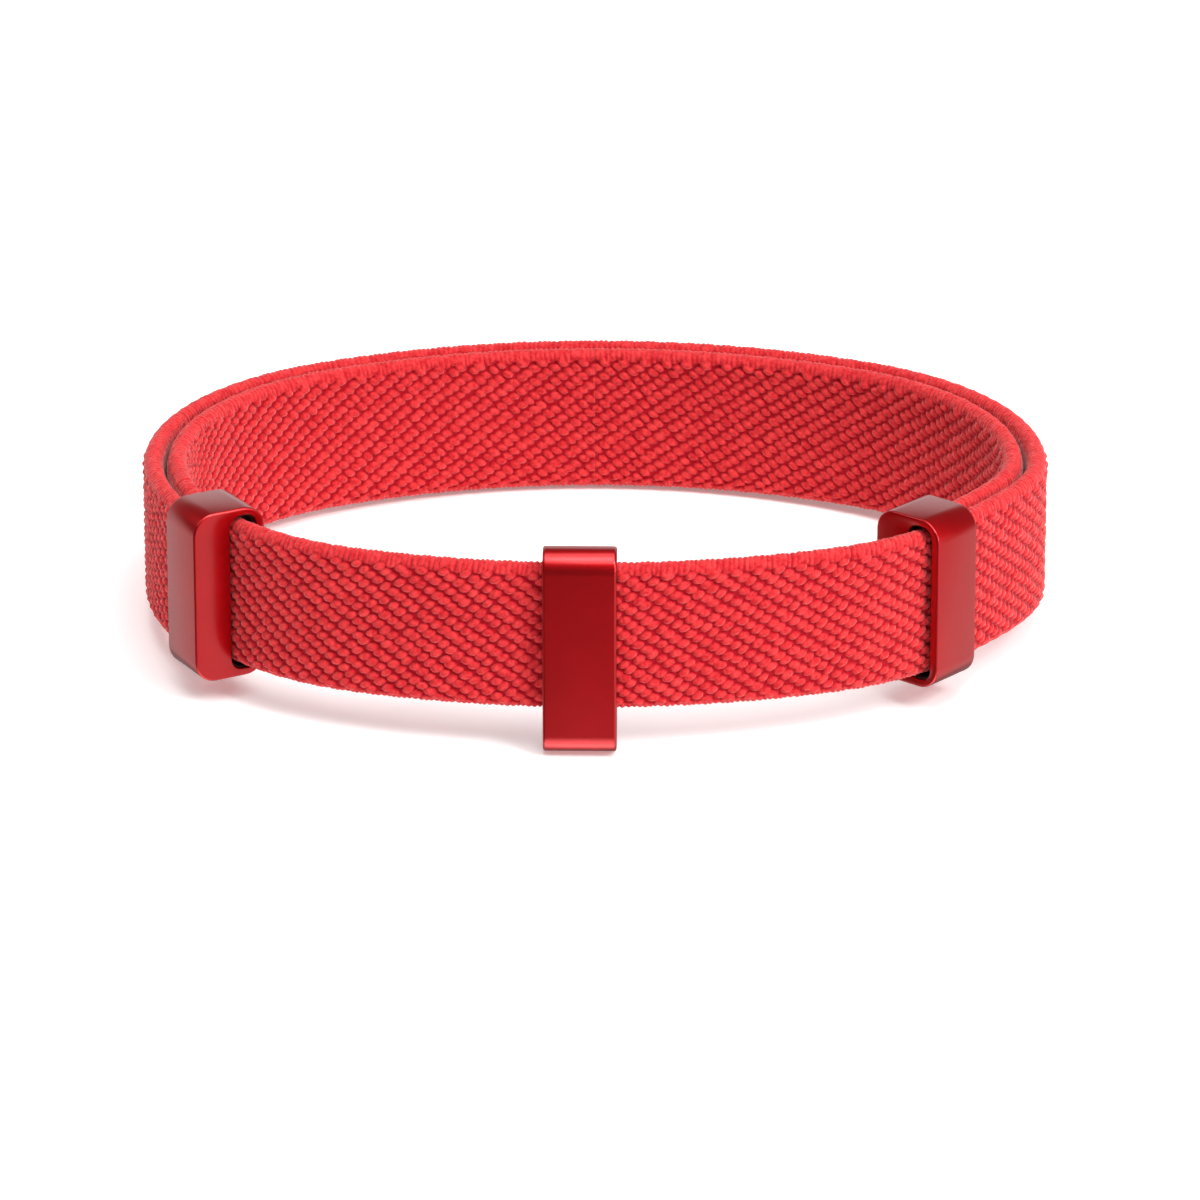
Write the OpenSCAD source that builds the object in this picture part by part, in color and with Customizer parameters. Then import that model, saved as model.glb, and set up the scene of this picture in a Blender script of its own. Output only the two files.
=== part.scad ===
// Elastic wristband: one woven strap, doubled round the back, with two sliding
// metal sleeves at the front corners and a flat metal ring on the single front run.
// The loop lies flat. +Z is up, -Y is the front, and Z = 0 is the lowest edge of the ring.

/* [Strap] */
// Width of the woven strap
strap_w = 12; // [11:0.1:12]
// Thickness of the woven strap
strap_t = 1.6; // [1.3:0.1:1.6]
// Distance between the middles of the two layers
layer_pitch = 1.9; // [1.8:0.05:1.9]

/* [Loop] */
// Distance from the middle of the loop to the centre of each side bend
side_x = 12.38; // [12:0.02:13]
// Radius of the side bends, to the middle of the outer layer
side_r = 22.7; // [22.3:0.1:23]
// Distance from the side bends' centres back to the middle of the outer layer
back_y = 25.65; // [25:0.05:26.5]
// Distance from the middle of the loop to the centre of each corner bend
corner_x = 11.5; // [11:0.1:12]
// Distance of the corner bends' centres in front of the side bends' centres
corner_y = 1.5; // [1.2:0.1:1.8]
// Radius of the corner bends, to the middle of the strap that slides through
corner_r = 21.2; // [21:0.1:21.4]
// Distance from the side bends' centres forward to the middle of the front run
front_y = 24.65; // [24.4:0.05:25]

/* [Sleeves] */
// Length of a sleeve along the strap
sleeve_l = 4.8; // [4.4:0.1:5]
// Width of a sleeve across both layers
sleeve_w = 6.2; // [6.2:0.1:6.6]
// Height of a sleeve
sleeve_h = 14; // [14:0.1:15]
// Outer corner radius of a sleeve
sleeve_corner = 1.8; // [1.4:0.1:2]
// Thickness of the side walls
side_wall = 0.7; // [0.6:0.05:0.7]
// Thickness of the top and bottom walls
edge_wall = 0.6; // [0.5:0.05:0.6]
// Thickness of the wall that closes half of the front end
end_wall = 1; // [0.8:0.1:1.1]
// Thickness of the black lining round the sliding strap
liner_t = 0.2; // [0.1:0.05:0.2]
// Length of the bar that holds the strap's end
clamp_l = 1.8; // [1.4:0.1:1.8]
// Turn of the left sleeve round the loop, from the front
left_turn = 55; // [54:0.5:57]
// Turn of the right sleeve round the loop, from the front
right_turn = 46; // [45:0.5:47]

/* [Ring] */
// Width of the ring along the strap
ring_l = 5.7; // [5:0.1:7]
// Depth of the ring
ring_d = 3.6; // [3.6:0.1:4]
// Height of the ring
ring_h = 16.7; // [16.4:0.1:17.5]
// Thickness of the ring's strip
ring_wall = 0.75; // [0.5:0.05:0.75]
// Radius of the ring's bends
ring_bend = 1.7; // [1.2:0.1:1.8]
// Height of the ring's top above the strap's top edge
ring_above = 1.2; // [0.9:0.1:1.6]
// Turn of the ring along the front run, to the right
ring_turn = -1.2; // [-10:0.1:10]

/* [Hidden] */
$fn = 48;
step = 3;                                   // degrees between outline points on a bend
strap_z = ring_h - ring_above - strap_w;    // lower edge of the strap
mid_z = strap_z + strap_w / 2;

// Circle of the back bend and of the front run, each tangent to the bends beside it
back_r = (side_x^2 + back_y^2 - side_r^2) / (2 * (back_y - side_r));
back_join = atan2(side_x, back_r - back_y);
front_drop = front_y - corner_y;
front_r = (corner_x^2 + front_drop^2 - corner_r^2) / (2 * (front_drop - corner_r));
front_join = atan2(corner_x, front_r - front_drop);
back_c = [0, back_y - back_r];
front_c = [0, front_r - front_y];

// Headings where the corner bends hand over to the side bends
right_leave = right_turn + 7;
right_arrive = 85;
left_leave = 272;
left_arrive = 360 - left_turn - 8;

// The strap sits off the middle of each sleeve, in the half with the open front end
left_strap_y = 0.85;
right_strap_y = 1.25;
left_tilt = 5.5;
right_tilt = 3;
slot_edge = 0.05;                           // the front end is open from here outwards
cavity_w = sleeve_w - 2 * side_wall;
cavity_h = sleeve_h - 2 * edge_wall;
cavity_corner = 0.6;
clamp_front = sleeve_l / 2 - end_wall;
clamp_gap = 0.1;                            // between the bar and the strap's end
end_back = clamp_l + clamp_gap - clamp_front;
left_end_back = end_back + (layer_pitch + strap_t / 2) * sin(left_tilt);    // clears the tilted bar
eps = 0.1;

// A path is a list of [x, y, heading]. The heading turns from 0 at the front, going right, to 360.
function out(h) = [sin(h), -cos(h)];
function along(h) = [cos(h), sin(h)];
function xy(p) = [p.x, p.y];
function at(p, h) = [p.x, p.y, h];
function arc(c, r, h0, h1, first = 0) =
    let (n = max(2, ceil(abs(h1 - h0) / step)))
    [for (i = [first:n]) let (h = h0 + (h1 - h0) * i / n) at(c + r * out(h), h)];

// Smooth curve from one path point to another, leaving out both ends
function bridge(a, b, n = 9) =
    let (k = norm(xy(b) - xy(a)) / 3, p = xy(a) + k * along(a[2]), q = xy(b) - k * along(b[2]))
    [for (i = [1:n - 1]) let (t = i / n, s = 1 - t,
        v = 3 * s^2 * (p - xy(a)) + 6 * s * t * (q - p) + 3 * t^2 * (xy(b) - q),
        turn = atan2(v.y, v.x))
        at(s^3 * xy(a) + 3 * s^2 * t * p + 3 * s * t^2 * q + t^3 * xy(b), turn < 0 ? turn + 360 : turn)];
function shifted(path, d) = [for (p = path) at(xy(p) + d * out(p[2]), p[2])];
function outline(path) = concat(
    [for (p = shifted(path, strap_t / 2)) xy(p)],
    [for (i = [len(path) - 1:-1:0]) xy(shifted(path, -strap_t / 2)[i])]);

// Middle of the outer layer, from one heading on the right round the back to one on the left
function layer(h0, h1) =
    let (right = arc([corner_x, -corner_y], corner_r, h0, right_leave),
        side = arc([side_x, 0], side_r, right_arrive, 180 - back_join),
        left_side = arc([-side_x, 0], side_r, 180 + back_join, left_leave, 1),
        left = arc([-corner_x, -corner_y], corner_r + layer_pitch, left_arrive, h1))
    concat(right, bridge(right[len(right) - 1], side[0]), side,
        arc(back_c, back_r, 180 - back_join, 180 + back_join, 1), left_side,
        bridge(left_side[len(left_side) - 1], left[0]), left);

module strap(path)
    translate([0, 0, strap_z])
        linear_extrude(strap_w)
            polygon(outline(path));

module rounded_rect(w, h, r) {
    square([w, h - 2 * r], center = true);
    square([w - 2 * r, h], center = true);
    for (x = [-1, 1], y = [-1, 1])
        translate([x * (w / 2 - r), y * (h / 2 - r)])
            circle(r);
}

// Stretch a profile drawn in width and height along the strap, from x0 to x1
module run(x0, x1)
    translate([x0, 0, 0])
        rotate([90, 0, 90])
            linear_extrude(x1 - x0)
                children();

module open_half()
    intersection() {
        rounded_rect(cavity_w, cavity_h, cavity_corner);
        translate([slot_edge, -sleeve_h / 2])
            square([sleeve_w, sleeve_h]);
    }

// Metal sleeve: the front end, at +X, is closed over half of the width
module sleeve()
    difference() {
        run(-sleeve_l / 2, sleeve_l / 2)
            rounded_rect(sleeve_w, sleeve_h, sleeve_corner);
        run(-sleeve_l / 2 - eps, sleeve_l / 2 - end_wall)
            rounded_rect(cavity_w, cavity_h, cavity_corner);
        run(sleeve_l / 2 - end_wall - eps, sleeve_l / 2 + eps)
            open_half();
    }

// Lining on three sides of the open half
module liner()
    run(-sleeve_l / 2, sleeve_l / 2)
        difference() {
            open_half();
            rounded_rect(cavity_w - 2 * liner_t, cavity_h - 2 * liner_t, cavity_corner - liner_t);
        }

// Bar across the closed half, against the end wall
module end_clamp() {
    bar_w = cavity_w / 2 - 0.25;
    bar_h = cavity_h - 2 * cavity_corner - 0.2;
    translate([clamp_front - clamp_l, -cavity_w / 2, -bar_h / 2])
        cube([clamp_l, bar_w, bar_h]);
}

module at_left()
    translate([-corner_x, -corner_y, mid_z])
        rotate(-left_turn)
            translate([0, -corner_r, 0])
                rotate(-left_tilt)
                    translate([0, -left_strap_y, 0])
                        children();

module at_right()
    translate([corner_x, -corner_y, mid_z])
        rotate(right_turn)
            translate([0, -corner_r, 0])
                rotate(180 + right_tilt)
                    translate([0, -right_strap_y, 0])
                        children();

module front_run()
    color([0.86, 0.18, 0.22])
        strap(concat(
            arc([-corner_x, -corner_y], corner_r, -left_turn, -front_join),
            arc(front_c, front_r, -front_join, front_join, 1),
            arc([corner_x, -corner_y], corner_r, front_join, right_turn, 1)));

module inner_layer()
    color([0.74, 0.14, 0.19])
        strap(shifted(layer(right_turn + asin(end_back / (corner_r - layer_pitch)), 360 - left_turn),
            -layer_pitch));

module outer_layer()
    color([0.92, 0.26, 0.28])
        strap(layer(right_turn, 360 - left_turn - asin(left_end_back / (corner_r + layer_pitch))));

module left_sleeve()
    color([0.72, 0.06, 0.1])
        at_left() sleeve();

module left_liner()
    color([0.08, 0.07, 0.07])
        at_left() liner();

module left_end_clamp()
    color([0.6, 0.6, 0.62])
        at_left() end_clamp();

module right_sleeve()
    color([0.72, 0.06, 0.1])
        at_right() sleeve();

module right_liner()
    color([0.08, 0.07, 0.07])
        at_right() liner();

module right_end_clamp()
    color([0.6, 0.6, 0.62])
        at_right() end_clamp();

// Flat ring, loose on the front run and hanging low
module front_clip()
    color([0.6, 0.04, 0.09])
        translate([0, front_c.y, ring_h / 2])
            rotate(ring_turn)
                translate([0, -front_r, 0])
                    run(-ring_l / 2, ring_l / 2)
                        difference() {
                            rounded_rect(ring_d, ring_h, ring_bend);
                            rounded_rect(ring_d - 2 * ring_wall, ring_h - 2 * ring_wall,
                                ring_bend - ring_wall);
                        }

front_run();
inner_layer();
outer_layer();
left_sleeve();
left_liner();
left_end_clamp();
right_sleeve();
right_liner();
right_end_clamp();
front_clip();
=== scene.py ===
import math

import bpy
import numpy as np
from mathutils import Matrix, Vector


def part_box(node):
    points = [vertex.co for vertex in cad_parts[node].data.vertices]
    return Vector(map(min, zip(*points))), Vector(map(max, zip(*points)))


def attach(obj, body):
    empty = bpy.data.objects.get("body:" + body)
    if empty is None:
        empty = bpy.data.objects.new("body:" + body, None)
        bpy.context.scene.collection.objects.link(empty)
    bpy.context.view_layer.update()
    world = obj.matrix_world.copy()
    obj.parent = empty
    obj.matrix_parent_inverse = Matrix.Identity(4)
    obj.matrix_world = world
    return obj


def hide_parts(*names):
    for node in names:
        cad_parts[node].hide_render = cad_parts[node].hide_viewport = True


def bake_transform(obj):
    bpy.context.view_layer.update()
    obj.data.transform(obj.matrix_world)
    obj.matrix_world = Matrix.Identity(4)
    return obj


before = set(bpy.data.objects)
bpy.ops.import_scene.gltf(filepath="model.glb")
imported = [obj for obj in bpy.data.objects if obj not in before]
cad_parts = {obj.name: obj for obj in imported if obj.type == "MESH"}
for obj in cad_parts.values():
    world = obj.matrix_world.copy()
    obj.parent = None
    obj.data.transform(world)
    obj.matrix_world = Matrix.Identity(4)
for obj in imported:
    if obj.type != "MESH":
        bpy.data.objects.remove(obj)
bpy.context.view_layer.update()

MM = 0.001                                   # sizes are in millimetres, and meshes are made in metres

# ---------------------------------------------------------------- sizes, as in the CAD source
STRAP_W, STRAP_T, PITCH = 12.0, 1.6, 1.9     # PITCH is between the middles of the two layers
SIDE_X, SIDE_R, BACK_Y = 12.38, 22.7, 25.65
CORNER_X, CORNER_Y, CORNER_R, FRONT_Y = 11.5, -1.5, 21.2, 24.65
LEFT_TURN, RIGHT_TURN = 55.0, 46.0           # of each sleeve round the loop, from the front
LEFT_TILT, RIGHT_TILT = 5.5, 3.0             # of each sleeve against the strap
LEFT_STRAP_Y, RIGHT_STRAP_Y = 0.85, 1.25     # sliding strap from the middle of each sleeve
SLEEVE_L, SLEEVE_W, SLEEVE_H, SLEEVE_CORNER = 4.8, 6.2, 14.0, 1.8
SIDE_WALL, EDGE_WALL, END_WALL = 0.7, 0.6, 1.0
CAVITY_W, CAVITY_H, CAVITY_CORNER = SLEEVE_W - 2 * SIDE_WALL, SLEEVE_H - 2 * EDGE_WALL, 0.6
CLAMP_L, CLAMP_GAP = 1.8, 0.1
RING_L, RING_D, RING_H, RING_WALL, RING_BEND, RING_TURN = 5.7, 3.6, 16.7, 0.75, 1.7, -1.2
STRAP_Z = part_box("front_run")[0].z / MM
MID_Z = STRAP_Z + STRAP_W / 2

# Circle of the back bend and of the front run, each tangent to the bends beside it
BACK_R = (SIDE_X**2 + BACK_Y**2 - SIDE_R**2) / (2 * (BACK_Y - SIDE_R))
BACK_JOIN = math.degrees(math.atan2(SIDE_X, BACK_R - BACK_Y))
DROP = FRONT_Y + CORNER_Y
FRONT_R = (CORNER_X**2 + DROP**2 - CORNER_R**2) / (2 * (DROP - CORNER_R))
FRONT_JOIN = math.degrees(math.atan2(CORNER_X, FRONT_R - DROP))
FRONT_C = (0.0, FRONT_R - FRONT_Y)

# Headings where the corner bends hand over to the side bends
RIGHT_LEAVE, RIGHT_ARRIVE = RIGHT_TURN + 7, 85
LEFT_LEAVE, LEFT_ARRIVE = 272, 352 - LEFT_TURN
ARC_POINTS = 4                               # a degree of a bend


# ---------------------------------------------------------------- the strap's route, seen from above
def out(h):
    """Unit vectors away from the loop, at headings h."""
    return np.stack([np.sin(np.radians(h)), -np.cos(np.radians(h))], -1)


def along(h):
    """Unit vectors along the strap, at headings h."""
    return np.stack([np.cos(np.radians(h)), np.sin(np.radians(h))], -1)


def arc(centre, radius, h0, h1):
    """Points and headings on a bend. The heading turns from 0 at the front, going right, to 360."""
    h = np.linspace(h0, h1, max(3, int(abs(h1 - h0) * ARC_POINTS)))
    return np.column_stack([np.array(centre) + radius * out(h), h])


def bridge(a, b, n=60):
    """Smooth curve between two path points, both ends left out."""
    t = np.linspace(0, 1, n + 2)[1:-1, None]
    k = np.linalg.norm(b[:2] - a[:2]) / 3
    p, q = a[:2] + k * along(a[2]), b[:2] - k * along(b[2])
    s = 1 - t
    point = s**3 * a[:2] + 3 * s**2 * t * p + 3 * s * t**2 * q + t**3 * b[:2]
    v = 3 * s**2 * (p - a[:2]) + 6 * s * t * (q - p) + 3 * t**2 * (b[:2] - q)
    turn = np.degrees(np.arctan2(v[:, 1], v[:, 0])) % 360
    return np.column_stack([point, turn])


def layer(h0, h1):
    """Middle of the outer layer, from the right sleeve round the back to the left one."""
    right = arc((CORNER_X, CORNER_Y), CORNER_R, h0, RIGHT_LEAVE)
    side = arc((SIDE_X, 0), SIDE_R, RIGHT_ARRIVE, 180 - BACK_JOIN)
    back = arc((0, BACK_Y - BACK_R), BACK_R, 180 - BACK_JOIN, 180 + BACK_JOIN)
    left_side = arc((-SIDE_X, 0), SIDE_R, 180 + BACK_JOIN, LEFT_LEAVE)
    left = arc((-CORNER_X, CORNER_Y), CORNER_R + PITCH, LEFT_ARRIVE, h1)
    return np.vstack([right, bridge(right[-1], side[0]), side, back[1:], left_side[1:],
                      bridge(left_side[-1], left[0]), left])


def shifted(path, d):
    """The path moved outwards by d."""
    return np.column_stack([path[:, :2] + d * out(path[:, 2]), path[:, 2]])


def front():
    """Middle of the single front run, from the left sleeve to the right one."""
    return np.vstack([
        arc((-CORNER_X, CORNER_Y), CORNER_R, -LEFT_TURN, -FRONT_JOIN),
        arc(FRONT_C, FRONT_R, -FRONT_JOIN, FRONT_JOIN)[1:],
        arc((CORNER_X, CORNER_Y), CORNER_R, FRONT_JOIN, RIGHT_TURN)[1:]])


def even(path, step):
    """The same path with points evenly spaced, and the length along it."""
    s = np.concatenate([[0], np.cumsum(np.linalg.norm(np.diff(path[:, :2], axis=0), axis=1))])
    n = int(round(s[-1] / step))
    e = np.linspace(0, s[-1], n + 1)
    return np.column_stack([np.interp(e, s, path[:, k]) for k in range(3)]), e


# ---------------------------------------------------------------- objects
def add_object(name, data):
    """New object in the scene."""
    obj = bpy.data.objects.new(name, data)
    bpy.context.collection.objects.link(obj)
    return obj


def add_mesh(name, verts, faces):
    """New object with a smooth mesh. verts is an array in millimetres."""
    mesh = bpy.data.meshes.new(name)
    mesh.from_pydata((verts * MM).tolist(), [], faces)
    mesh.validate()
    mesh.shade_smooth()
    return add_object(name, mesh)


# ---------------------------------------------------------------- woven surface
STEP = 0.105                                 # spacing of the surface's points along the strap
FRONT_STEP = 0.085                           # and on the front run
COARSE = 4                                   # times wider on a face that lies against another layer
EDGE_STEPS = 20                              # points round a rounded edge
BEAD_ROW, BEAD_GAP = 0.40, 1.72              # from row to row across, and from bead to bead along a row
ROW_SHIFT = BEAD_GAP / 3                     # of a row against the one below it
BEAD_A, BEAD_B = 0.52, 0.355                 # half sizes of a bead
BEAD_TILT = 0.32                             # lean of a bead, in radians
BEAD_LO, BEAD_HI = -0.23, 0.05               # floor between the beads and their tops, from the strap's face
DOME_POWER, DOME_TOP = 0.58, 1.1             # roundness of a bead, and the most its height may reach
SPREAD_S, SPREAD_Z, SPREAD_TILT = 0.05, 0.028, 0.18      # random differences from bead to bead
SPREAD_SIZE, SPREAD_HEIGHT = 0.05, 0.07
INNER_SHIFT = 0.4                            # of the inner face's beads against the outer face's
KNOT_LIFT, KNOT_BAND = 0.06, 0.3             # the first row of beads is fuller
TOP_BAND, BOTTOM_BAND = 0.75, 0.45           # ribbed selvedge on each face, above and below the beads
FADE, FINGER = 0.3, 0.17                     # width and waviness of the change from beads to ribs
RIB_PITCH, RIB_SLANT, RIB_PHASE = 0.43, 0.12, 0.25
RIB_SHARE = 0.75                             # of the selvedge's height. Its knuckles have the rest.
RIB_SHIFT = 0.2                              # of the lower edge's ribs against the upper edge's
EDGE_LO, EDGE_HI = -0.17, 0.02               # floor between the ribs and their tops
EDGE_SINK = 0.05                             # the selvedge lies deeper where it is on a face
EDGE_GAP_SHADE, FACE_GAP_SHADE = 0.65, 0.4           # painted shade in the gaps between the ribs, with more of it where the ribs lie on a face
FUZZ = 0.012                                 # fine unevenness all over
HIDDEN_LIFT, HIDDEN_SHADE = 0.03, 1.0        # the plain face between the layers, and the full painted shade it gets there
ROWS, BEADS = 48, 211                        # of the random table
rng = np.random.default_rng(7)
JITTER = rng.normal(size=(ROWS, BEADS, 5)).clip(-2, 2)


def beads(s, z):
    """Height of the twill's beads over the ground, at places s along and z across."""
    best = np.zeros_like(s)
    row = np.floor(z / BEAD_ROW)
    for dj in (-2, -1, 0, 1, 2):
        j = row + dj
        first = -ROW_SHIFT * j
        near = np.round((s - first) / BEAD_GAP)
        q = JITTER[(j % ROWS).astype(int), (near % BEADS).astype(int)]
        ds = s - first - near * BEAD_GAP - SPREAD_S * q[..., 0]
        dz = z - (j + 0.5) * BEAD_ROW - SPREAD_Z * q[..., 1]
        tilt = BEAD_TILT + SPREAD_TILT * q[..., 2]
        size = 1 + SPREAD_SIZE * q[..., 3]
        u = (ds * np.cos(tilt) + dz * np.sin(tilt)) / (BEAD_A * size)
        v = (-ds * np.sin(tilt) + dz * np.cos(tilt)) / (BEAD_B * size)
        dome = np.clip(1 - u * u - v * v, 0, 1) ** DOME_POWER * (1 + SPREAD_HEIGHT * q[..., 4])
        best = np.maximum(best, dome)
    return np.clip(best, 0, DOME_TOP)


def sway(s, size, rate, phase=0.0):
    """Slow unevenness along the strap."""
    return size * np.sin(s * rate + phase)


def ribs(s, across, pitch):
    """Height of the selvedge, 0 to 1: fine ribs over the edge, with a knuckle at every turn of the weft."""
    wobble = sway(s, 0.05, 1.9) + sway(s, 0.04, 4.3, 1.0)
    rib = np.abs(np.cos(math.pi * ((s + wobble + RIB_SLANT * across) / pitch + RIB_PHASE)))
    knuckle = 0.5 + 0.5 * np.cos(2 * math.pi * (s + sway(s, 0.25, 0.7)) / BEAD_GAP)
    strength = 0.85 + sway(s, 0.15, 0.83, 2.0) * sway(s, 1.0, 2.1)
    return 1 - strength * (RIB_SHARE * (1 - rib) + (1 - RIB_SHARE) * (1 - knuckle))


def smooth(x):
    """Soft step from 0 to 1."""
    x = np.clip(x, 0, 1)
    return x * x * (3 - 2 * x)


def section(step, fine_out, fine_in):
    """Loop round the strap as rows (kind, height z, offset n, normal nz, normal nn).

    kind is 1 on the outer face, -1 on the inner face and 0 on the edges, or 2 and -2 on a hidden face.
    """
    r = STRAP_T / 2
    flat = STRAP_W - 2 * r
    loop = []
    for sign, fine in ((1, fine_out), (-1, fine_in)):
        count = int(flat / (step if fine else COARSE * step))
        for k in range(count):
            t = (k + 0.5) / count
            z = r + flat * (t if sign > 0 else 1 - t)
            loop.append((sign if fine else 2 * sign, z, sign * r, 0.0, sign))
        edge_z = STRAP_W - r if sign > 0 else r
        for k in range(EDGE_STEPS):
            a = math.pi * (k + 0.5) / EDGE_STEPS
            nz, nn = math.sin(a) * sign, math.cos(a) * sign
            loop.append((0, edge_z + r * nz, r * nn, nz, nn))
    return np.array(loop)


def relief(s, z, kind, nn, pitch):
    """Lift of the surface off the plain strap, and the painted shade at each place, 0 to 1, most in the
    gaps between beads and ribs.
    """
    face = np.abs(nn) ** 2
    above, below = STRAP_W - z, z
    finger = FINGER * np.cos(2 * math.pi * s / BEAD_GAP)
    woven = smooth((above - TOP_BAND + FADE / 2 + finger) / FADE)
    woven = woven * smooth((below - BOTTOM_BAND + FADE / 2) / FADE) * face
    grain = beads(s + INNER_SHIFT * (kind < 0), z)
    edge = ribs(s + RIB_SHIFT * (z < STRAP_W / 2), np.minimum(above, below), pitch)
    fuzz = FUZZ * (np.sin(9.1 * s + 3 * z) * np.sin(11.3 * z - 5 * s))
    knots = KNOT_LIFT * np.exp(-((above - TOP_BAND - KNOT_BAND) / KNOT_BAND)**2) * grain
    bead_lift = BEAD_LO + (BEAD_HI - BEAD_LO) * grain + knots
    edge_lift = EDGE_LO + (EDGE_HI - EDGE_LO) * edge - EDGE_SINK * face
    lift = woven * bead_lift + (1 - woven) * edge_lift + fuzz
    # painted shade, darker where the surface lies low between the beads and between the ribs
    painted_gap_shade = woven * (1 - grain) + (1 - woven) * (EDGE_GAP_SHADE + FACE_GAP_SHADE * face) * (1 - edge)
    hidden = np.abs(kind) == 2
    # the hidden face between the layers gets full painted shade
    return np.where(hidden, HIDDEN_LIFT, lift), np.where(hidden, HIDDEN_SHADE, painted_gap_shade)


def tube_faces(m, n):
    """Quads along m loops of n points each, and a flat cap at each end."""
    idx = np.arange(m * n).reshape(m, n)
    a, b = idx[:-1], idx[1:]
    quads = np.stack([a, b, np.roll(b, -1, 1), np.roll(a, -1, 1)], -1).reshape(-1, 4)
    return quads.tolist() + [idx[0].tolist(), idx[-1][::-1].tolist()]


def strap_piece(name, path, s, step=STEP, fine_out=True, fine_in=True):
    """A length of strap with its weave as real surface. s runs on from piece to piece."""
    kind, z, n, nz, nn = section(step, fine_out, fine_in).T
    S, Z = np.meshgrid(s, z, indexing="ij")
    pitch = step * round(RIB_PITCH / step)
    lift, painted_gap_shade = relief(S, Z, np.broadcast_to(kind, S.shape), np.broadcast_to(nn, S.shape), pitch)
    x, y, h = path.T
    side = out(h)
    N = n + lift * nn
    P = np.stack([x[:, None] + N * side[:, 0, None], y[:, None] + N * side[:, 1, None],
                  STRAP_Z + Z + lift * nz], -1)
    obj = add_mesh(name, P.reshape(-1, 3), tube_faces(*S.shape))
    for cap in obj.data.polygons[-2:]:
        cap.use_smooth = False
    # painted shade for the material, per point, 0 to 1
    attribute = obj.data.attributes.new("painted_gap_shade", "FLOAT", "POINT")
    attribute.data.foreach_set("value", painted_gap_shade.ravel().astype(np.float32))
    return obj


# ---------------------------------------------------------------- metal parts and linings, from loops
LOOP_STEPS = 8                               # round each corner of a sleeve
RING_STEPS = 14                              # and of the ring
SLEEVE_BEVEL, SLEEVE_LIP = 0.16, 0.08        # outer edges, and the edges of the openings
LIP_MIDDLE = 0.3                             # of the lip, where its rounding has its middle point
RING_BEVEL, RING_BEVEL_STEPS = 0.22, 6
SLOT_EDGE, SLOT_CORNER = 0.05, 0.95          # where the opening in the front end starts, and its corners
SLOT_W = CAVITY_W / 2 - SLOT_EDGE
LINER_T, LINER_SOFT, LINER_WRAP = 0.14, 0.05, 125        # LINER_WRAP is the angle where the lining ends
LINER_BACK, LINER_FRONT = 0.1, 0.25          # set in from the ends of the sleeve


def rounded_loop(w, h, r, n=LOOP_STEPS, y=0.0, z=0.0):
    """Rounded rectangle as points (y, z). Loops with the same n join up side to side."""
    pts = []
    for quarter, (sy, sz) in enumerate(((1, 1), (-1, 1), (-1, -1), (1, -1))):
        for k in range(n + 1):
            a = math.pi / 2 * (quarter + k / n)
            pts.append((y + sy * (w / 2 - r) + r * math.cos(a), z + sz * (h / 2 - r) + r * math.sin(a)))
    return np.array(pts)


def turned(angle, move, verts):
    """Local x along the strap, y across and z up, turned about Z and moved."""
    a = math.radians(angle)
    x = verts[:, 0] * math.cos(a) - verts[:, 1] * math.sin(a)
    y = verts[:, 0] * math.sin(a) + verts[:, 1] * math.cos(a)
    return np.column_stack([x, y, verts[:, 2]]) + np.array(move)


def skin(name, loops, angle, move, closed=True):
    """Skin through loops [(x, points)], the last joined to the first. Open loops get a cap at each end."""
    verts = np.vstack([np.column_stack([np.full(len(p), x), p]) for x, p in loops])
    n, m = len(loops[0][1]), len(loops)
    faces = []
    for i in range(m):
        a, b = i * n, (i + 1) % m * n
        for k in range(n if closed else n - 1):
            faces.append((a + k, a + (k + 1) % n, b + (k + 1) % n, b + k))
    if not closed:
        faces += [tuple(i * n for i in range(m)), tuple(i * n + n - 1 for i in reversed(range(m)))]
    return add_mesh(name, turned(angle, move, verts), faces)


def bevel_steps(size, n=4):
    """Pairs (set back along x, inset) round an outer edge."""
    return [(size * (1 - math.sin(math.pi / 2 * k / n)), size * (1 - math.cos(math.pi / 2 * k / n)))
            for k in range(n + 1)]


def sleeve_place(side):
    """Where a sleeve's own frame lies: its turn and its centre."""
    if side == "left":
        h, tilt, strap_y, corner_x = -LEFT_TURN, -LEFT_TILT, LEFT_STRAP_Y, -CORNER_X
    else:
        h, tilt, strap_y, corner_x = RIGHT_TURN, 180 + RIGHT_TILT, RIGHT_STRAP_Y, CORNER_X
    turn = h + tilt
    p = np.array((corner_x, CORNER_Y)) + CORNER_R * out(h) - strap_y * along(turn + 90)
    return turn, (p[0], p[1], MID_Z)


def make_sleeve(side):
    """Metal sleeve, its front end closed over half of the width."""
    half, lip, mid = SLEEVE_L / 2, SLEEVE_LIP, SLEEVE_LIP * LIP_MIDDLE

    def outer(inset):
        return rounded_loop(SLEEVE_W - 2 * inset, SLEEVE_H - 2 * inset, SLEEVE_CORNER - inset)

    def slot(grow):
        return rounded_loop(SLOT_W + 2 * grow, CAVITY_H + 2 * grow, SLOT_CORNER + grow,
                            y=SLOT_EDGE + SLOT_W / 2)

    def cavity(grow):
        return rounded_loop(CAVITY_W + 2 * grow, CAVITY_H + 2 * grow, CAVITY_CORNER + grow)

    loops = [(-half + back, outer(inset)) for back, inset in reversed(bevel_steps(SLEEVE_BEVEL))]
    loops += [(half - back, outer(inset)) for back, inset in bevel_steps(SLEEVE_BEVEL)]
    loops += [(half, slot(lip)), (half - mid, slot(mid)), (half - lip, slot(0)),
              (half - END_WALL, slot(0)), (half - END_WALL, cavity(0)),
              (-half + lip, cavity(0)), (-half, cavity(lip))]
    return skin(side + "_sleeve_metal", loops, *sleeve_place(side))


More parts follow.
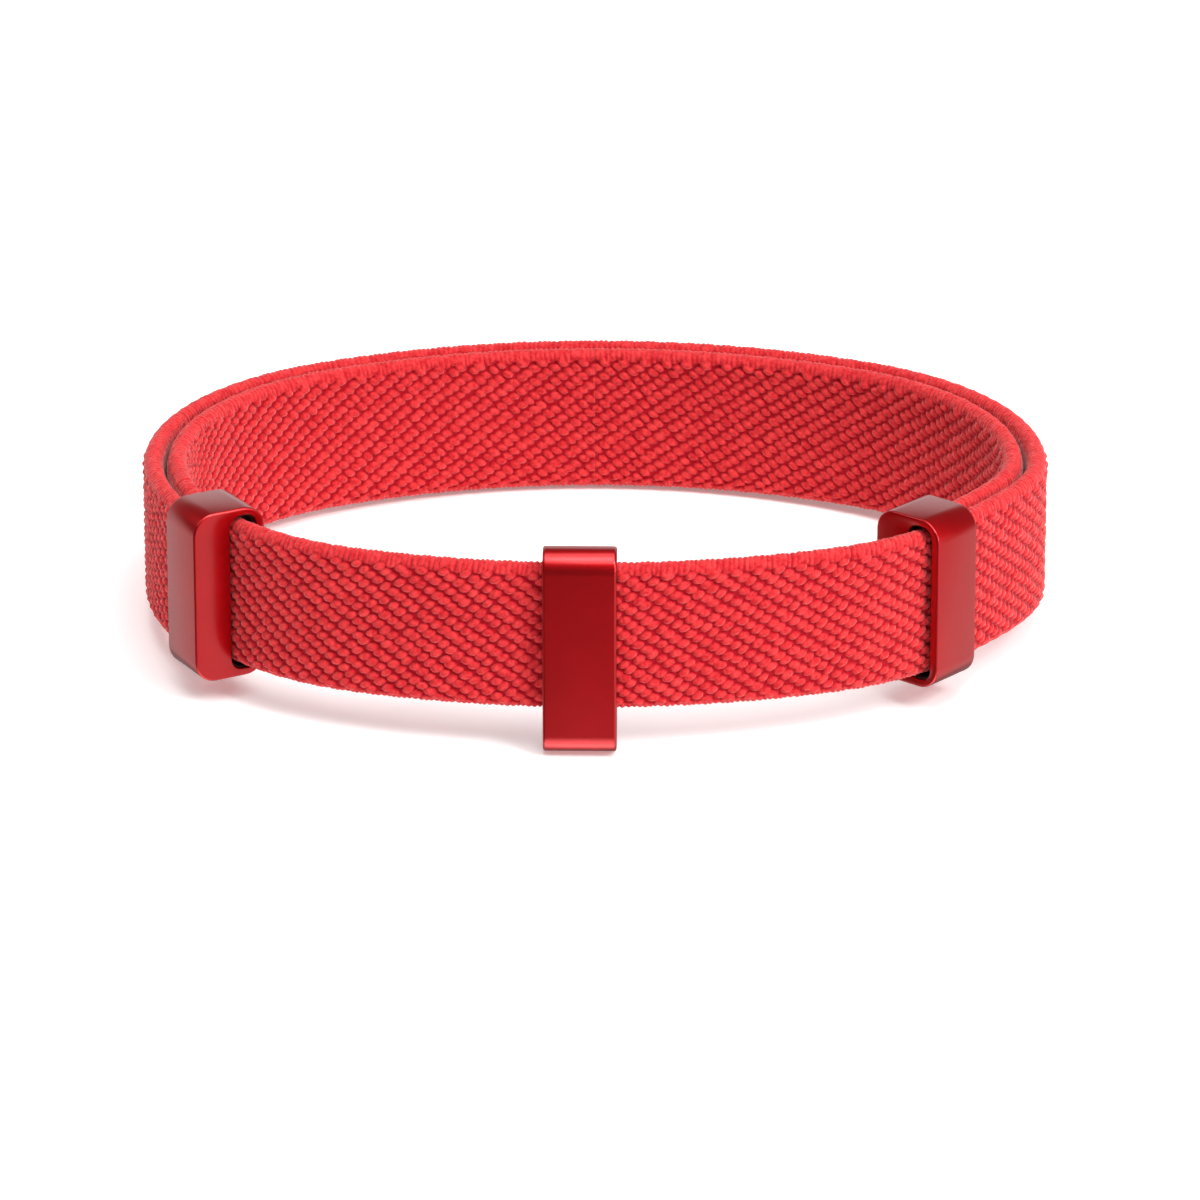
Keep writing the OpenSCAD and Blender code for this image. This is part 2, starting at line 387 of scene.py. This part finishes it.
def slot_outline(inset):
    """Three sides of the slot, from past one inner corner round to past the other."""
    r = SLOT_CORNER
    y0, y1, z = SLOT_EDGE + r, SLOT_EDGE + SLOT_W - r, CAVITY_H / 2 - r
    corners = ((y0, z, LINER_WRAP, 90), (y1, z, 90, 0), (y1, -z, 0, -90), (y0, -z, -90, -LINER_WRAP))
    points = []
    for cy, cz, a0, a1 in corners:
        for k in range(LOOP_STEPS + 1):
            a = math.radians(a0 + (a1 - a0) * k / LOOP_STEPS)
            points.append((cy + (r - inset) * math.cos(a), cz + (r - inset) * math.sin(a)))
    return np.array(points)


def make_lining(side):
    """Black lining on three sides of the open half, its front edge rounded and just inside the slot."""
    x0, x1, soft = -SLEEVE_L / 2 + LINER_BACK, SLEEVE_L / 2 - LINER_FRONT, LINER_SOFT
    ring = ((x0, 0.0), (x1 - soft, 0.0), (x1, soft), (x1, LINER_T - soft), (x1 - soft, LINER_T),
            (x0, LINER_T))
    loops = [(x, slot_outline(inset)) for x, inset in ring]
    return skin(side + "_lining_strip", loops, *sleeve_place(side), closed=False)


def make_ring():
    """Closed flat metal ring, its edges rounded inside and out."""
    half = RING_L / 2
    inner_w, inner_h = RING_D - 2 * RING_WALL, RING_H - 2 * RING_WALL

    def outer(inset):
        return rounded_loop(RING_D - 2 * inset, RING_H - 2 * inset, RING_BEND - inset, RING_STEPS)

    def inner(inset):
        return rounded_loop(inner_w + 2 * inset, inner_h + 2 * inset, RING_BEND - RING_WALL + inset,
                            RING_STEPS)

    bevel = bevel_steps(RING_BEVEL, RING_BEVEL_STEPS)
    loops = [(-half + back, outer(inset)) for back, inset in reversed(bevel)]
    loops += [(half - back, outer(inset)) for back, inset in bevel]
    loops += [(half - back, inner(inset)) for back, inset in reversed(bevel)]
    loops += [(-half + back, inner(inset)) for back, inset in bevel]
    p = np.array(FRONT_C) + FRONT_R * out(RING_TURN)
    return skin("front_ring", loops, RING_TURN, (p[0], p[1], RING_H / 2))


# ---------------------------------------------------------------- materials
MIX_A, MIX_B, MIX_RESULT = 6, 7, 2           # colour sockets of a Mix node


def new_material(name):
    """A material, its node tree and its shader."""
    mat = bpy.data.materials.new(name)
    mat.use_nodes = True
    return mat, mat.node_tree, mat.node_tree.nodes["Principled BSDF"]


def set_inputs(node, values):
    """Plain values on a node's own sockets."""
    for key, value in values.items():
        node.inputs[key].default_value = value


def noise(tree, scale, detail):
    """Noise in the object's own coordinates."""
    coords = tree.nodes.new("ShaderNodeTexCoord")
    tex = tree.nodes.new("ShaderNodeTexNoise")
    set_inputs(tex, {"Scale": scale, "Detail": detail})
    tree.links.new(coords.outputs["Object"], tex.inputs["Vector"])
    return tex


def mix_colour(tree, factor, a, b):
    """Mix of two colours, each a tuple or a socket."""
    mix = tree.nodes.new("ShaderNodeMix")
    mix.data_type = "RGBA"
    for socket, value in ((mix.inputs[MIX_A], a), (mix.inputs[MIX_B], b)):
        if isinstance(value, tuple):
            socket.default_value = value + (1.0,)
        else:
            tree.links.new(value, socket)
    tree.links.new(factor, mix.inputs[0])
    return mix.outputs[MIX_RESULT]


def ranged(tree, value, lo, hi, to_lo, to_hi):
    """The value, with the range lo to hi stretched to to_lo to to_hi."""
    node = tree.nodes.new("ShaderNodeMapRange")
    set_inputs(node, {"From Min": lo, "From Max": hi, "To Min": to_lo, "To Max": to_hi})
    tree.links.new(value, node.inputs["Value"])
    return node.outputs["Result"]


def bump(tree, height, strength, distance, shader):
    """Fine bump on the shader's normal. distance is in metres."""
    node = tree.nodes.new("ShaderNodeBump")
    set_inputs(node, {"Strength": strength, "Distance": distance})
    tree.links.new(height, node.inputs["Height"])
    tree.links.new(node.outputs["Normal"], shader.inputs["Normal"])


def strap_material():
    """Red woven elastic with fine fibres: the yarn's colour on the beads, and dark red painted shade in the
    gaps between beads and ribs and on the hidden faces.
    """
    mat, tree, shader = new_material("strap_weave")
    painted_gap_shade = tree.nodes.new("ShaderNodeAttribute")
    painted_gap_shade.attribute_name = "painted_gap_shade"
    patch = noise(tree, 2000, 6)
    set_inputs(patch, {"Roughness": 0.68})
    yarn = mix_colour(tree, ranged(tree, patch.outputs[0], 0.36, 0.62, 0, 1),
                      (0.52, 0.010, 0.016), (0.74, 0.044, 0.047))
    # painted shade: the yarn darkens to dark red in the gaps and on the hidden faces
    gap_shade_mix = ranged(tree, painted_gap_shade.outputs["Fac"], 0.26, 0.88, 0, 1)
    colour = mix_colour(tree, gap_shade_mix, yarn, (0.40, 0.001, 0.010))
    tree.links.new(colour, shader.inputs["Base Color"])
    fibre = noise(tree, 4600, 4)
    bump(tree, fibre.outputs[0], 1.0, 0.00012, shader)
    set_inputs(shader, {"Roughness": 0.82, "Specular IOR Level": 0.12, "Sheen Weight": 0.6,
                        "Sheen Roughness": 0.42, "Sheen Tint": (1.0, 0.62, 0.60, 1.0)})
    return mat


def metal_material():
    """Red anodised aluminium, bead-blasted: a dyed clear layer over metal, darker at a slant."""
    mat, tree, shader = new_material("anodised_red")
    cloud = noise(tree, 260, 2)
    colour = mix_colour(tree, cloud.outputs[0], (0.44, 0.001, 0.003), (0.54, 0.001, 0.006))
    tree.links.new(colour, shader.inputs["Base Color"])
    grain = noise(tree, 9000, 2)
    tree.links.new(ranged(tree, grain.outputs[0], 0.3, 0.7, 0.37, 0.47), shader.inputs["Roughness"])
    bump(tree, grain.outputs[0], 0.45, 0.00002, shader)
    set_inputs(shader, {"Metallic": 0.9, "Specular IOR Level": 0.0, "Specular Tint": (0.15, 0.0, 0.0, 1.0),
                        "Coat Weight": 1.0, "Coat Roughness": 0.2, "Coat IOR": 1.42})
    return mat


def lining_material():
    """Black plastic with a fine grain."""
    mat, tree, shader = new_material("black_lining")
    grain = noise(tree, 6000, 3)
    colour = mix_colour(tree, grain.outputs[0], (0.010, 0.009, 0.009), (0.022, 0.019, 0.019))
    tree.links.new(colour, shader.inputs["Base Color"])
    bump(tree, grain.outputs[0], 0.3, 0.00002, shader)
    set_inputs(shader, {"Roughness": 0.6})
    return mat


def clamp_material():
    """Plain metal, for the bars inside the sleeves."""
    mat, tree, shader = new_material("plain_metal")
    grain = noise(tree, 3000, 4)
    colour = mix_colour(tree, grain.outputs[0], (0.5, 0.5, 0.52), (0.68, 0.68, 0.70))
    tree.links.new(colour, shader.inputs["Base Color"])
    tree.links.new(ranged(tree, grain.outputs[0], 0.3, 0.7, 0.3, 0.5), shader.inputs["Roughness"])
    set_inputs(shader, {"Metallic": 1.0})
    return mat


def dress(obj, mat):
    """The material, and no other, on the object."""
    obj.data.materials.clear()
    obj.data.materials.append(mat)


STRAP = strap_material()
METAL = metal_material()
LINING = lining_material()
CLAMP = clamp_material()


# ---------------------------------------------------------------- the strap's pieces
def halves(path, s, first, second, **detail):
    """Two pieces that meet at the middle of the loop, where x is 0."""
    cut = int(np.argmin(np.abs(path[:, 0])))
    return (strap_piece(first, path[:cut + 1], s[:cut + 1], **detail),
            strap_piece(second, path[cut:], s[cut:], **detail))


# The ends held in the sleeves stop just short of the clamps
end_back = CLAMP_L + CLAMP_GAP - (SLEEVE_L / 2 - END_WALL)
left_end_back = end_back + (PITCH + STRAP_T / 2) * math.sin(math.radians(LEFT_TILT))
inner_start = RIGHT_TURN + math.degrees(math.asin(end_back / (CORNER_R - PITCH)))
outer_end = 360 - LEFT_TURN - math.degrees(math.asin(left_end_back / (CORNER_R + PITCH)))

# The weave runs on from the inner layer to the front run and on to the outer layer
inner_path, inner_s = even(shifted(layer(inner_start, 360 - LEFT_TURN), -PITCH), STEP)
front_path, front_s = even(front(), FRONT_STEP)
outer_path, outer_s = even(layer(RIGHT_TURN, outer_end), STEP)
front_s += inner_s[-1]
outer_s += front_s[-1]

inner_right, inner_left = halves(inner_path, inner_s, "inner_right", "inner_left", fine_out=False)
front_left, front_right = halves(front_path, front_s, "front_left", "front_right", step=FRONT_STEP)
outer_right, outer_left = halves(outer_path, outer_s, "outer_right", "outer_left", fine_in=False)

for piece in (inner_right, inner_left, front_left, front_right, outer_right, outer_left):
    dress(piece, STRAP)
for piece in (inner_left, front_left, front_right, outer_right):
    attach(piece, "band")
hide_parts("front_run")
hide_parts("front_run")
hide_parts("inner_layer")
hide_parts("inner_layer")
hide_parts("outer_layer")
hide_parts("outer_layer")

BLEND_X = 30.0                               # the side of the loop, on either hand
for piece, body, x in ((inner_right, "right_slider", BLEND_X), (outer_left, "left_slider", -BLEND_X)):
    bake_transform(piece)

# ---------------------------------------------------------------- sleeves, linings, clamps and ring
for side in ("left", "right"):
    shell = make_sleeve(side)
    strip = make_lining(side)
    dress(shell, METAL)
    dress(strip, LINING)
    for piece, slot_name, node in ((shell, "red_metal", "_sleeve"), (strip, "lining", "_liner")):
        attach(piece, side + "_slider")
        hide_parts(side + node)
    dress(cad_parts[side + "_end_clamp"], CLAMP)
ring = make_ring()
dress(ring, METAL)
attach(ring, "clip")
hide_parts("front_clip")

# ---------------------------------------------------------------- floor, light and camera
FLOOR_HALF, FLOOR_GAP = 4.0, 0.0001          # in metres
WHITE = (1, 1, 1, 1)

# Soft boxes: name, azimuth, elevation, distance and size in metres, strength.
LIGHTS = (
    ("top", 20, 86, 0.9, 0.7, 0.42),
    ("key", 50, 44, 1.2, 0.4, 0.60),
    ("front", 20, 66, 1.2, 0.7, 0.22),
    ("low_right", 62, 12, 1.2, 0.5, 0.30),
    ("left", -95, 42, 1.2, 0.5, 0.13),
)

# Soft glows of the studio: towards, cosine at the edge and where it is full, and the strengths there.
GLOWS = (
    ((0.0, 1.0, -1.0), 0.28, 0.54, 0.12, 1.15),       # low at the back
    ((0.0, 1.0, -1.0), 1.0, 1.25, 0.0, -0.8),         # less of it underneath
    ((0.0, -0.50, -0.87), 0.82, 0.98, 0.0, 2.9),      # low in front
    ((0.80, -0.48, -0.36), 0.74, 0.98, 0.0, 1.0),     # low at the right
    ((0.0, -0.36, 0.93), 0.90, 1.0, 0.0, 2.6),        # high in front
)

CAMERA_RISE, CAMERA_FAR = 21.0, 684.06       # degrees above the floor, and distance
AIM_RIGHT, AIM_DOWN = 0.39, 6.35             # where the camera looks, from the middle of the loop
LENS, SENSOR = 257.5, 36.0


def make_floor():
    """Pale floor through the ring's lowest edge and the strap's lower edge at the back."""
    slope = math.atan2(STRAP_Z, BACK_Y + FRONT_Y)
    y0, z0 = -FRONT_Y * MM, -FLOOR_GAP
    run, rise = FLOOR_HALF * math.cos(slope), FLOOR_HALF * math.sin(slope)
    corners = [(sx * FLOOR_HALF, y0 + sy * run, z0 + sy * rise)
               for sx, sy in ((-1, -1), (1, -1), (1, 1), (-1, 1))]
    mesh = bpy.data.meshes.new("floor")
    mesh.from_pydata(corners, [], [(0, 1, 2, 3)])
    obj = add_object("floor", mesh)
    mat, tree, shader = new_material("floor_paper")
    # a lit table, so shadows stay faint
    set_inputs(shader, {"Base Color": (0.98, 0.98, 0.98, 1), "Roughness": 0.9,
                        "Emission Color": WHITE, "Emission Strength": 0.22})
    dress(obj, mat)
    obj.visible_glossy = False               # the metal mirrors the studio, and not the table


def make_light(name, azimuth, elevation, distance, size, strength):
    """Soft box, azimuth from the camera round to the right. Strength is what it adds to a white card."""
    a, e = math.radians(azimuth), math.radians(elevation)
    where = distance * Vector((math.cos(e) * math.sin(a), -math.cos(e) * math.cos(a), math.sin(e)))
    data = bpy.data.lights.new(name, "AREA")
    data.shape = "SQUARE"
    data.size = size
    data.energy = strength * math.pi**2 * distance**2
    obj = add_object(name, data)
    obj.location = where
    obj.rotation_euler = (-where).to_track_quat("-Z", "Y").to_euler()


def make_world():
    """Studio round the object: dark on the camera's side, bright low down at the back."""
    world = bpy.data.worlds.new("studio")
    world.use_nodes = True
    tree = world.node_tree
    coords = tree.nodes.new("ShaderNodeTexCoord")
    strength = None
    for towards, edge, full, dark, bright in GLOWS:
        dot = tree.nodes.new("ShaderNodeVectorMath")
        dot.operation = "DOT_PRODUCT"
        dot.inputs[1].default_value = towards
        tree.links.new(coords.outputs["Generated"], dot.inputs[0])
        part = ranged(tree, dot.outputs["Value"], edge, full, dark, bright)
        if strength is None:
            strength = part
            continue
        total = tree.nodes.new("ShaderNodeMath")
        tree.links.new(strength, total.inputs[0])
        tree.links.new(part, total.inputs[1])
        strength = total.outputs[0]
    back = tree.nodes["Background"]
    set_inputs(back, {"Color": WHITE})
    tree.links.new(strength, back.inputs["Strength"])
    bpy.context.scene.world = world


def make_camera():
    """Camera in front of the loop and above it."""
    rise = math.radians(CAMERA_RISE)
    aim = np.array([0.0, 0.0, MID_Z])
    right = np.array([1.0, 0.0, 0.0])
    forward = np.array([0.0, math.cos(rise), -math.sin(rise)])
    up = np.array([0.0, math.sin(rise), math.cos(rise)])
    place = aim - CAMERA_FAR * forward
    target = aim + AIM_RIGHT * right - AIM_DOWN * up
    data = bpy.data.cameras.new("camera")
    data.sensor_width = SENSOR
    data.lens = LENS
    data.clip_start, data.clip_end = 0.01, 20.0
    obj = add_object("camera", data)
    obj.location = Vector(place) * MM
    obj.rotation_euler = Vector(target - place).to_track_quat("-Z", "Y").to_euler()
    bpy.context.scene.camera = obj


make_floor()
make_world()
for light in LIGHTS:
    make_light(*light)
make_camera()
bpy.context.scene.view_settings.view_transform = "Standard"
